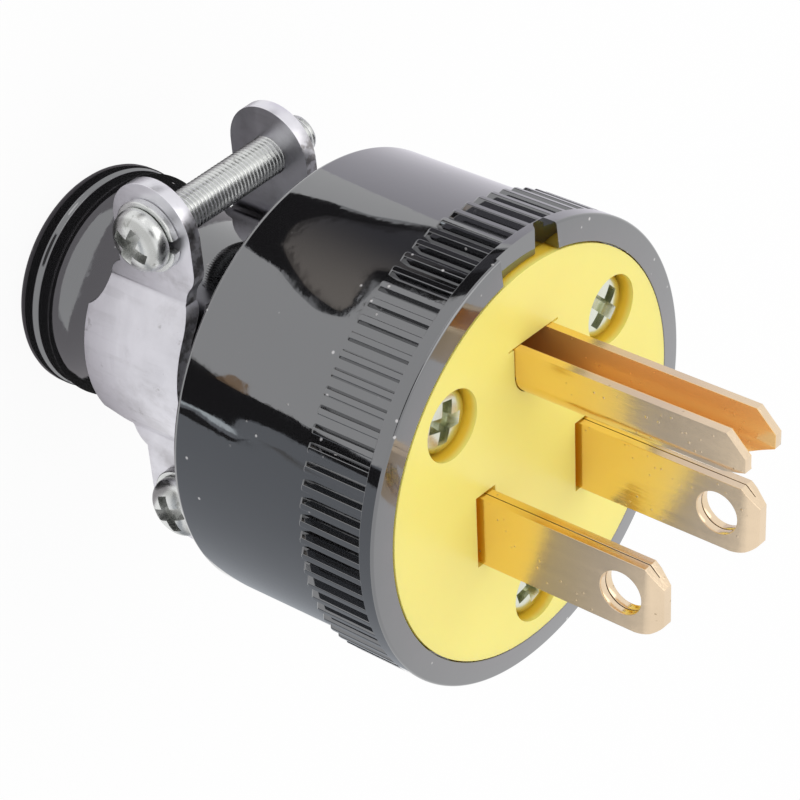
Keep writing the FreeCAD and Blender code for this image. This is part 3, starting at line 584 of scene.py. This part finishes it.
def grip_band():
    """One drafted rib with a rounded rear end, copied round the barrel."""
    sizes = bpy.context.scene.plug_sizes
    foot = sizes.rib_width / 2
    sunk = 0.05 * MM
    bm = bmesh.new()
    bmesh.ops.create_cube(bm, size=1.0)
    height = (RIB_RADIUS - BARREL_RADIUS) * MM + sunk
    length = (RING_BACK - BAND_BACK) * MM + sunk
    bmesh.ops.scale(bm, vec=(foot * 2, height, length), verts=bm.verts[:])
    middle = Vector((0, BARREL_RADIUS * MM - sunk + height / 2, BAND_BACK * MM + length / 2))
    bmesh.ops.translate(bm, vec=middle, verts=bm.verts[:])
    for vert in bm.verts:
        if vert.co.y > BARREL_RADIUS * MM:
            vert.co.x *= 0.62
            if vert.co.z < middle.z:
                vert.co.z += 0.45 * MM
    rear = [
        e
        for e in bm.edges
        if max(v.co.z for v in e.verts) < middle.z and abs(e.verts[0].co.y - e.verts[1].co.y) > height / 2
    ]
    bevelled(bm, rear, 0.17 * MM, 3)
    top = [e for e in bm.edges if min(v.co.y for v in e.verts) > BARREL_RADIUS * MM]
    top = [e for e in top if min(v.co.z for v in e.verts) < middle.z]
    bevelled(bm, top, 0.06 * MM, 2)
    hidden = [f for f in bm.faces if f.normal.y < -0.9 or f.normal.z > 0.9]
    bmesh.ops.delete(bm, geom=hidden, context="FACES")
    turn = Matrix.Rotation(math.radians(RIB_TURN), 3, "Z")
    bmesh.ops.rotate(bm, cent=(0, 0, 0), matrix=turn, verts=bm.verts[:])
    bmesh.ops.spin(
        bm,
        geom=bm.verts[:] + bm.edges[:] + bm.faces[:],
        axis=(0, 0, 1),
        cent=(0, 0, 0),
        angle=math.tau,
        steps=sizes.rib_count,
        use_duplicate=True,
        use_merge=False,
    )
    bmesh.ops.remove_doubles(bm, verts=bm.verts[:], dist=1e-7)
    return to_mesh(bm, "band")


def refined(node, name, width, material, segments=2, sharp=35):
    """A merged copy of a CAD node with its hard edges rounded, which stands for the node."""
    bm = bmesh.new()
    bm.from_mesh(NODES[node].data)
    bmesh.ops.remove_doubles(bm, verts=bm.verts[:], dist=1e-6)
    bmesh.ops.dissolve_limit(bm, angle_limit=math.radians(1.0), verts=bm.verts[:], edges=bm.edges[:])
    hard = [e for e in bm.edges if len(e.link_faces) == 2 and e.calc_face_angle(0) > math.radians(28)]
    bevelled(bm, hard, width, segments, clamp=True)
    return own_object(name, to_mesh(bm, name), material, [node], sharp)


def threaded_rod(bm, radius, bottom, top):
    """A rod along Z with a helical thread, cut flat at both ends, in millimetres."""
    sizes = bpy.context.scene.plug_sizes
    pitch, depth = sizes.thread_pitch / MM, sizes.thread_depth / MM
    steps = 28
    turns = int((top - bottom) / pitch) + 3
    start = bottom - pitch * 1.5
    root = radius - depth
    part = bmesh.new()
    wire(
        part,
        [
            (root, start, 0),
            (root, start + pitch * 0.14, 0),
            (radius, start + pitch * 0.46, 0),
            (radius, start + pitch * 0.64, 0),
            (root, start + pitch * 0.96, 0),
            (root, start + pitch, 0),
        ],
    )
    bmesh.ops.spin(
        part,
        geom=part.verts[:] + part.edges[:],
        axis=(0, 0, 1),
        cent=(0, 0, 0),
        dvec=(0, 0, pitch * MM / steps),
        angle=math.tau * turns,
        steps=steps * turns,
        use_merge=False,
        use_duplicate=False,
    )
    bmesh.ops.remove_doubles(part, verts=part.verts[:], dist=2e-6)
    for level, side in ((bottom, -1), (top, 1)):
        cut = bmesh.ops.bisect_plane(
            part,
            geom=part.verts[:] + part.edges[:] + part.faces[:],
            plane_co=(0, 0, level * MM),
            plane_no=(0, 0, side),
            clear_outer=True,
        )
        rim = [e for e in cut["geom_cut"] if isinstance(e, bmesh.types.BMEdge)]
        bmesh.ops.contextual_create(part, geom=rim)
    bmesh.ops.recalc_face_normals(part, faces=part.faces[:])
    bm.from_mesh(to_mesh(part, "rod"))


def cross_head(radius, height, edge, recess, width, depth):
    """A domed head on the plane Z=0, with a cross recess cut in it, in millimetres."""
    bm = bmesh.new()
    wire(
        bm,
        [
            (0, 0, 0),
            (radius, 0, 0.12),
            (radius, edge, 0.35),
            (radius * 0.72, height * 0.93, 0.9),
            (0, height, 0),
        ],
    )
    spun(bm, steps=64)
    head = to_mesh(bm, "head")
    for turn in (0, math.pi / 2):
        slot = bmesh.new()
        bmesh.ops.create_cube(slot, size=1.0)
        bmesh.ops.scale(slot, vec=(recess * 2 * MM, width * MM, depth * 2 * MM), verts=slot.verts[:])
        for vert in slot.verts:
            if vert.co.z < 0:
                vert.co.x *= 0.62
                vert.co.y *= 0.72
        bmesh.ops.rotate(slot, cent=(0, 0, 0), matrix=Matrix.Rotation(turn, 3, "Z"), verts=slot.verts[:])
        bmesh.ops.translate(slot, vec=(0, 0, height * MM), verts=slot.verts[:])
        bmesh.ops.recalc_face_normals(slot, faces=slot.faces[:])
        head = cut_away(head, slot)
    return head


def clamp_matrix(side, spin=0.0):
    """Places what is built along +Z, head outwards, where a clamp screw sits."""
    place = Matrix.Translation((0, CLAMP_LIFT * MM, 0)) @ Matrix.Rotation(CLAMP_TURN, 4, "Z")
    at = Matrix.Translation((-WASHER_OUTER * MM, SCREW_REACH * side * MM, EAR_HEIGHT * MM))
    return place @ at @ Matrix.Rotation(-math.pi / 2, 4, "Y") @ Matrix.Rotation(spin, 4, "Z")


def clamp_screw(name, side, material):
    bm = bmesh.new()
    threaded_rod(bm, CLAMP_SCREW_RADIUS, -CLAMP_SCREW_LENGTH, 0.0)
    bm.from_mesh(cross_head(**CLAMP_HEAD))
    bmesh.ops.transform(bm, matrix=clamp_matrix(side, math.radians(44 + 20 * side)), verts=bm.verts[:])
    mesh = to_mesh(bm, name)
    node = name.replace("long_screw", "clamp_screw")
    return own_object(name, mesh, material, [node], sharp=32)


def split_washer(name, side, material):
    """A spring washer: one turn of a square coil, with its two ends apart."""
    bm = bmesh.new()
    section = [(1.95, -0.78, 0.06), (3.15, -0.78, 0.10), (3.15, -0.06, 0.10), (1.95, -0.06, 0.06)]
    wire(bm, section, closed=True)
    start = bm.edges[:] + bm.verts[:]
    turned = bmesh.ops.spin(
        bm,
        geom=start,
        axis=(0, 0, 1),
        cent=(0, 0, 0),
        angle=math.tau - WASHER_OPENING,
        steps=60,
        use_merge=False,
        use_duplicate=False,
    )
    last = [g for g in turned["geom_last"] if isinstance(g, bmesh.types.BMEdge)]
    bmesh.ops.contextual_create(bm, geom=last)
    bmesh.ops.contextual_create(bm, geom=[g for g in start if isinstance(g, bmesh.types.BMEdge)])
    bmesh.ops.recalc_face_normals(bm, faces=bm.faces[:])
    bmesh.ops.transform(bm, matrix=clamp_matrix(side, math.radians(12)), verts=bm.verts[:])
    node = name.replace("spring_washer", "lock_washer")
    return own_object(name, to_mesh(bm, name), material, [node], sharp=32)


def face_screw(number, material):
    node = f"face_screw_{number}"
    low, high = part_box(node)
    middle = (low + high) / 2
    seat = high.z / MM - FACE_HEAD["height"]
    bm = bmesh.new()
    threaded_rod(bm, FACE_SCREW_RADIUS, low.z / MM - seat, 0.0)
    bm.from_mesh(cross_head(**FACE_HEAD))
    spin = Matrix.Rotation(math.radians(15 + 31 * number), 4, "Z")
    place = Matrix.Translation((middle.x, middle.y, seat * MM)) @ spin
    bmesh.ops.transform(bm, matrix=place, verts=bm.verts[:])
    name = f"cross_screw_{number}"
    return own_object(name, to_mesh(bm, name), material, [node], sharp=32)


class MakeStage(bpy.types.Operator):
    """Sets up the pale floor, the soft lights and the camera"""

    bl_idname = "plug.make_stage"
    bl_label = "Stage"

    def execute(self, context):
        self.camera()
        self.floor()
        self.cards()
        self.lights()
        return {"FINISHED"}

    def camera(self):
        made = bpy.data.objects.new("camera", bpy.data.cameras.new("camera"))
        made.location = CAMERA_PLACE
        made.rotation_euler = Euler([math.radians(a) for a in CAMERA_TURN])
        made.data.lens = CAMERA_LENS
        made.data.sensor_width = 36
        made.data.clip_start = 0.01
        made.data.clip_end = 20
        bpy.context.scene.collection.objects.link(made)
        bpy.context.scene.camera = made

    def floor(self):
        bm = bmesh.new()
        bmesh.ops.create_grid(bm, x_segments=1, y_segments=1, size=4)
        bmesh.ops.translate(bm, vec=(0, 0, -FLOOR_DROP * MM), verts=bm.verts[:])
        floor = bpy.data.objects.new("floor", to_mesh(bm, "floor"))
        bpy.context.scene.collection.objects.link(floor)
        finish = Finish("white floor")
        seen = finish.node("ShaderNodeLightPath", output="Is Camera Ray")
        glossy = finish.node("ShaderNodeLightPath", output="Is Glossy Ray")
        clear = finish.node("ShaderNodeLightPath", output="Is Transmission Ray")
        lit = finish.node("ShaderNodeEmission", {"Color": (1, 1, 1, 1), "Strength": 1.0})
        matte = finish.node("ShaderNodeBsdfDiffuse", {"Color": (0.92, 0.92, 0.92, 1)})
        rays = seen + glossy + clear
        share = finish.node("ShaderNodeMath", (rays, 0.93), operation="MULTIPLY", use_clamp=True)
        both = finish.node("ShaderNodeMixShader", (share, matte, lit))
        finish.node("ShaderNodeOutputMaterial", {"Surface": both})
        floor.data.materials.append(finish.material)

    def cards(self):
        """Dark and grey cards that only reflections see: on the floor, and one behind the camera"""
        blob = [
            (-14, 50), (10, 48), (19, 54), (24, 60), (31, 62), (38, 64), (48, 76), (40, 96), (10, 100),
            (-8, 84), (-10, 75), (-19, 73), (-27, 70), (-34, 66), (-34, 61), (-28, 59), (-20, 57),
        ]
        inner = [
            (3, 57), (13, 58), (20, 63), (32, 67), (44, 78), (30, 90), (6, 82), (-3, 73), (-16, 71.5),
            (-27, 68.5), (-31.5, 65), (-26, 61.5), (-18, 59.5), (-10, 57.5),
        ]
        strip = [
            (-44, 22), (-51, 21.5), (-56, 20), (-64, 20), (-69, 20.5), (-75, 19.5), (-100, 17), (-100, 5),
            (-76, 9), (-68, 10.5), (-63, 8.5), (-62, 3), (-59, 4), (-54, 5), (-44, 6),
        ]
        scrap = [(-54.5, 19.5), (-55.5, 24.5), (-59, 24), (-61, 19.5)]
        crease = [
            (-48, 2), (-55, 3), (-59, 0), (-62, -1.8), (-65.5, 1), (-62, -3.6), (-58, -1.6), (-52, 0.6),
        ]
        gleam = [(-49, 4), (-56, 3.9), (-60, 1), (-63, 0.2), (-62, 2.6), (-58, 4.6), (-52, 5)]
        curl = [(-66, 2.4), (-71, 2), (-75, -0.5), (-80, -3), (-80, -4.4), (-74, -2.2), (-70, 0.6)]
        self.card("dark card", blob, 0.4, 0.02, 1.5)
        self.card("brown card", inner, 0.6, (0.10, 0.10, 0.11), 1.2, ((0.50, 0.45, 0.40), 20, -28))
        self.card("narrow card", strip, 0.5, 0.02, 1.2)
        self.card("scrap card", scrap, 0.7, (0.62, 0.42, 0.26), 0.8)
        self.card("crease card", crease, 0.7, 0.03, 0.3)
        self.card("gleam card", gleam, 0.6, (1.25, 1.35, 1.40), 0.3)
        self.card("curl card", curl, 0.7, 0.25, 0.3)
        self.ring("grey card", 47, 130, 168, 118, (0.38, 0.40, 0.43))
        self.ring("far side card", 36, 130, -60, 115, (0.78, 0.76, 0.82))
        self.ring("near card", 0, 10.6, 0, 360, (0.14, 0.13, 0.14))
        self.ring("groove card", 10.6, 18.0, 0, 360, (0.02, 0.02, 0.02))
        self.ring("neck card", 18.0, 25.0, 0, 360, (0.45, 0.43, 0.45))
        bm = bmesh.new()
        bmesh.ops.create_circle(bm, cap_ends=True, segments=48, radius=VIEWER_RADIUS * MM)
        toward = Vector(CAMERA_PLACE).normalized()
        turn = toward.to_track_quat("Z", "Y").to_matrix().to_4x4()
        place = Matrix.Translation(toward * VIEWER_DISTANCE * MM) @ turn
        bmesh.ops.transform(bm, matrix=place, verts=bm.verts[:])
        self.unseen("viewer card", bm, (0.12, 0.12, 0.12))

    def ring(self, name, inner, outer, start, sweep, tone):
        """A card in the shape of a sector of a ring round the plug."""
        bm = bmesh.new()
        ends = [bm.verts.new((radius * MM, 0, RING_LIFT * MM)) for radius in (inner, outer)]
        bm.edges.new(ends)
        turn = Matrix.Rotation(math.radians(start), 3, "Z")
        bmesh.ops.rotate(bm, cent=(0, 0, 0), matrix=turn, verts=bm.verts[:])
        bmesh.ops.spin(
            bm,
            geom=bm.verts[:] + bm.edges[:],
            axis=(0, 0, 1),
            cent=(0, 0, 0),
            angle=math.radians(sweep),
            steps=48,
            use_merge=False,
            use_duplicate=False,
        )
        self.unseen(name, bm, tone)

    def card(self, name, corners, height, tone, rounding, fade=None):
        bm = bmesh.new()
        bm.faces.new([bm.verts.new((x * MM, y * MM, height * MM)) for x, y in corners])
        bevelled(bm, bm.verts[:], rounding * MM, 4, affect="VERTICES", clamp=True)
        self.unseen(name, bm, tone if isinstance(tone, tuple) else (tone, tone, tone), fade)

    def unseen(self, name, bm, tone, fade=None):
        """A staged card, of one tone or fading to another along X, that only reflections see."""
        made = bpy.data.objects.new(name.replace(" ", "_"), to_mesh(bm, name))
        bpy.context.scene.collection.objects.link(made)
        finish = Finish(name)
        if fade:
            other, start, stop = fade
            tone = finish.mix(finish.axis("X").step(start * MM, stop * MM), tone, other)
        lit = finish.node("ShaderNodeEmission", {"Color": tone, "Strength": 1.0})
        finish.node("ShaderNodeOutputMaterial", {"Surface": lit})
        made.data.materials.append(finish.material)
        for ray in ("camera", "diffuse", "shadow", "transmission", "volume_scatter"):
            setattr(made, f"visible_{ray}", False)

    def lights(self):
        turn = Euler([math.radians(a) for a in CAMERA_TURN]).to_matrix()
        middle = Vector((0, 0, 0.034))
        for name, side, up, toward, size, power, tint in (
            ("key", -0.30, 0.62, 0.30, 0.60, 1.6, (1.0, 0.99, 0.98)),
            ("fill", 0.55, 0.15, 0.45, 0.60, 1.0, (1.0, 0.98, 0.95)),
        ):
            lamp = bpy.data.lights.new(name, "AREA")
            lamp.shape = "SQUARE"
            lamp.size = size
            lamp.energy = power
            lamp.color = tint
            place = middle + turn @ Vector((side, up, toward))
            made = bpy.data.objects.new(name, lamp)
            made.location = place
            made.rotation_euler = (middle - place).to_track_quat("-Z", "Y").to_euler()
            bpy.context.scene.collection.objects.link(made)
        world = bpy.data.worlds.new("studio")
        bpy.context.scene.world = world
        world.use_nodes = True
        tree = world.node_tree
        tree.nodes.clear()
        path = tree.nodes.new("ShaderNodeLightPath")
        either = tree.nodes.new("ShaderNodeMath")
        either.operation = "MAXIMUM"
        plain = tree.nodes.new("ShaderNodeBackground")
        plain.inputs["Color"].default_value = (1.0, 1.0, 1.0, 1.0)
        plain.inputs["Strength"].default_value = 0.90
        white = tree.nodes.new("ShaderNodeBackground")
        white.inputs["Color"].default_value = (1.0, 1.0, 1.0, 1.0)
        white.inputs["Strength"].default_value = 1.0
        both = tree.nodes.new("ShaderNodeMixShader")
        out = tree.nodes.new("ShaderNodeOutputWorld")
        tree.links.new(path.outputs["Is Camera Ray"], either.inputs[0])
        tree.links.new(path.outputs["Is Glossy Ray"], either.inputs[1])
        tree.links.new(either.outputs["Value"], both.inputs["Fac"])
        tree.links.new(plain.outputs["Background"], both.inputs[1])
        tree.links.new(white.outputs["Background"], both.inputs[2])
        tree.links.new(both.outputs["Shader"], out.inputs["Surface"])
        bpy.context.scene.view_settings.view_transform = "Standard"


class MakeBody(bpy.types.Operator):
    """Makes the ribbed black body"""

    bl_idname = "plug.make_body"
    bl_label = "Body"

    def execute(self, context):
        moulded_body()
        return {"FINISHED"}


class MakeFace(bpy.types.Operator):
    """Finishes the yellow face and the board behind it"""

    bl_idname = "plug.make_face"
    bl_label = "Face"

    def execute(self, context):
        refined("face_insert", "yellow_face", 0.00012, face_plastic())
        refined("terminal_retainer", "retainer_board", 0.00012, retainer_plastic())
        return {"FINISHED"}


class MakeContacts(bpy.types.Operator):
    """Finishes the folded blades and the earth pin"""

    bl_idname = "plug.make_contacts"
    bl_label = "Contacts"

    def execute(self, context):
        brass = blade_brass()
        for node, name in (
            ("blade_line", "line_blade"),
            ("blade_neutral", "neutral_blade"),
            ("earth_pin", "earth_blade"),
        ):
            refined(node, name, 0.00010, brass)
        return {"FINISHED"}


class MakeScrews(bpy.types.Operator):
    """Makes the threaded face screws and finishes the terminals"""

    bl_idname = "plug.make_screws"
    bl_label = "Screws"

    def execute(self, context):
        pale, dark = (0.74, 0.76, 0.66), (0.30, 0.32, 0.12)
        green = plated("green zinc", pale, dark, 0.14, 0.6, (1, 1, 1), shade_in_face_recesses)
        for number in (1, 2, 3):
            face_screw(number, green)
        brass = plated("brass screw", (0.80, 0.60, 0.28), (0.35, 0.22, 0.10))
        silver = plated("nickel screw", (0.72, 0.71, 0.68), (0.30, 0.30, 0.30))
        earth = plated("green screw", (0.16, 0.42, 0.20), (0.05, 0.14, 0.07))
        for name, material in (("line", brass), ("neutral", silver), ("earth", earth)):
            for kind in ("screw", "plate"):
                node = NODES[f"terminal_{kind}_{name}"]
                node.data.materials.clear()
                node.data.materials.append(material)
        return {"FINISHED"}


class MakeClamp(bpy.types.Operator):
    """Finishes the cord clamp, its long screws and its spring washers"""

    bl_idname = "plug.make_clamp"
    bl_label = "Cord clamp"

    def execute(self, context):
        sizes = context.scene.plug_sizes
        dark = (0.30, 0.28, 0.28)
        steel = plated("clamp zinc", colour("steel"), dark, 0.24, 0.45, (1, 0.12, 1), sheared_edges_and_bend_shade)
        for side in ("left", "right"):
            refined(f"cord_clamp_{side}", f"clamp_{side}", sizes.sheet_edge, steel, 3)
        screw = plated("screw zinc", colour("zinc"), (0.22, 0.22, 0.20), 0.18, 0.6, (1, 1, 1), shade_in_clamp_recesses)
        for name, side in SCREW_SIDES.items():
            clamp_screw(f"long_screw_{name}", side, screw)
            split_washer(f"spring_washer_{name}", side, screw)
        return {"FINISHED"}


class PlugPanel(bpy.types.Panel):
    """The plug's steps, in order"""

    bl_idname = "VIEW3D_PT_plug"
    bl_label = "Rewirable plug"
    bl_space_type = "VIEW_3D"
    bl_region_type = "UI"
    bl_category = "Plug"

    def draw(self, context):
        for step in STEPS:
            self.layout.operator(step.bl_idname)
        for group in (context.scene.plug_sizes, context.scene.plug_finishes):
            for name in group.__annotations__:
                self.layout.prop(group, name)


STEPS = (MakeStage, MakeBody, MakeFace, MakeContacts, MakeScrews, MakeClamp)
CLASSES = (PlugSizes, PlugFinishes, *STEPS, PlugPanel)


def register():
    for made in CLASSES:
        bpy.utils.register_class(made)
    bpy.types.Scene.plug_sizes = PointerProperty(type=PlugSizes)
    bpy.types.Scene.plug_finishes = PointerProperty(type=PlugFinishes)


def unregister():
    del bpy.types.Scene.plug_finishes
    del bpy.types.Scene.plug_sizes
    for made in reversed(CLASSES):
        bpy.utils.unregister_class(made)


def main():
    register()
    bpy.ops.plug.make_stage()
    bpy.ops.plug.make_body()
    bpy.ops.plug.make_face()
    bpy.ops.plug.make_contacts()
    bpy.ops.plug.make_screws()
    bpy.ops.plug.make_clamp()


if __name__ == "__main__":
    main()
